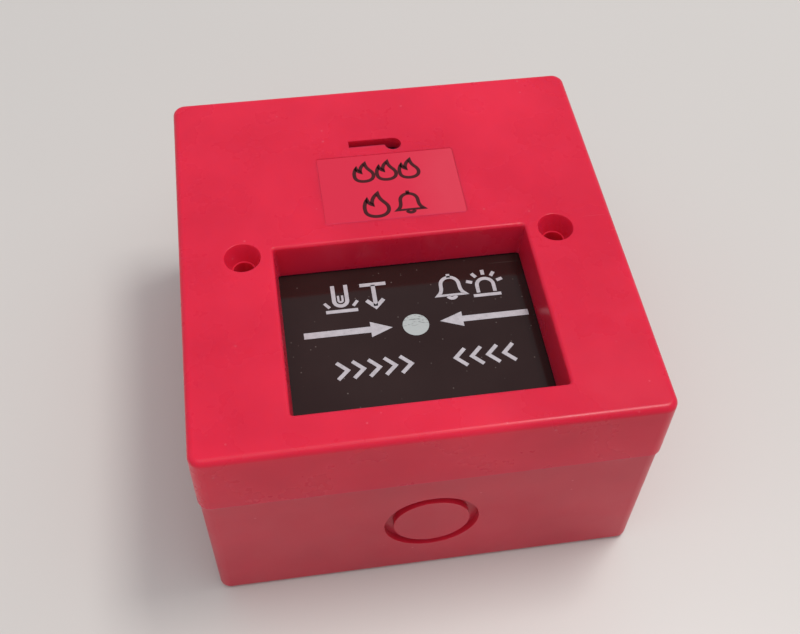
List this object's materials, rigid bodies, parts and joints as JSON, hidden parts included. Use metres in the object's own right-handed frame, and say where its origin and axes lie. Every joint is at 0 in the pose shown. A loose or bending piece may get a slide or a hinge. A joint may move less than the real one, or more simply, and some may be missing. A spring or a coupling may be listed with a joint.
{
  "type": "manual call point",
  "caption": "Red surface-mounted box with a lift-off cover, a recessed press panel, a keyed reset slot and screw holes.",
  "frame": {"origin": "centre of the flat back face, which lies against the wall or on a table", "axes": "+Z out of the front face, +Y towards the top as hung, +X to the right seen from the front"},
  "size_m": [0.0872, 0.0914, 0.051],
  "materials": {
    "case_red": "satin moulded red, as the cover",
    "cover_red": "satin moulded red with fine scuffs",
    "label_film": "thin glossy film over the red",
    "legend_black": "glossy brown-black film with pale print",
    "panel_black": "moulded black",
    "mechanism_black": "moulded black, fine grain",
    "latch_white": "natural acetal",
    "cam_red": "dark red acetal",
    "brass": "turned and knurled",
    "screw_steel": "zinc plated",
    "spring_steel": "drawn wire",
    "board_green": "solder mask",
    "switch_case": "moulded black",
    "plunger_red": "small moulded button",
    "lever_steel": "bright strip",
    "terminal_green": "moulded green",
    "resistor_beige": "lacquer with colour bands",
    "diode_black": "moulded, one pale band"
  },
  "bodies": {
    "case": {"back_box": "case_red", "threaded_inserts": "brass"},
    "cover": {"front_cover": "cover_red", "title_label": "label_film", "mechanism_plate": "mechanism_black", "plate_screws": "screw_steel", "cam_retainer": "mechanism_black", "retainer_screws": "screw_steel", "circuit_board": "board_green", "board_screws": "screw_steel", "microswitch_body": "switch_case", "switch_pins": "lever_steel", "lever_pin": "lever_steel", "terminal_block": "terminal_green", "terminal_cages": "screw_steel", "terminal_screws": "screw_steel", "resistors": "resistor_beige", "diode": "diode_black", "return_springs": "spring_steel", "latch_spring": "spring_steel"},
    "press_unit": {"legend_film": "legend_black", "press_panel": "panel_black", "panel_carrier": "mechanism_black"},
    "lever": {"switch_lever": "lever_steel"},
    "plunger": {"switch_plunger": "plunger_red"},
    "reset_cam": {"key_cam": "cam_red"},
    "latch": {"latch_slider": "latch_white"}
  },
  "joints": [
    {"name": "cover_lift", "type": "slide", "parent": "case", "child": "cover", "axis": [0, 0, 1], "range_m": [0, 0.06]},
    {"name": "panel_press", "type": "slide", "parent": "cover", "child": "press_unit", "axis": [0, 0, -1], "range_m": [0, 0.0035], "stiffness_N_per_m": 3000, "springref_m": -0.002, "deforming": ["return_springs"]},
    {"name": "lever_turn", "type": "hinge", "parent": "cover", "child": "lever", "pos_m": [-0.0155, -0.018, 0.0284], "axis": [0, 1, 0], "range_deg": [0, 14]},
    {"name": "plunger_travel", "type": "slide", "parent": "cover", "child": "plunger", "axis": [0, 0, -1], "range_m": [0, 0.0008]},
    {"name": "latch_travel", "type": "slide", "parent": "cover", "child": "latch", "axis": [0, 1, 0], "range_m": [0, 0.003], "stiffness_N_per_m": 250, "springref_m": -0.002, "deforming": ["latch_spring"]},
    {"name": "key_turn", "type": "hinge", "parent": "cover", "child": "reset_cam", "pos_m": [0.0024, 0.0276, 0.046], "axis": [0, 0, -1], "range_deg": [0, 90]}
  ],
  "couplings": [
    {"joint": "lever_turn", "follows": "panel_press", "rad_per_m": 66.97},
    {"joint": "plunger_travel", "follows": "panel_press", "ratio": 0.21},
    {"joint": "key_turn", "follows": "latch_travel", "rad_per_m": 523.6}
  ]
}
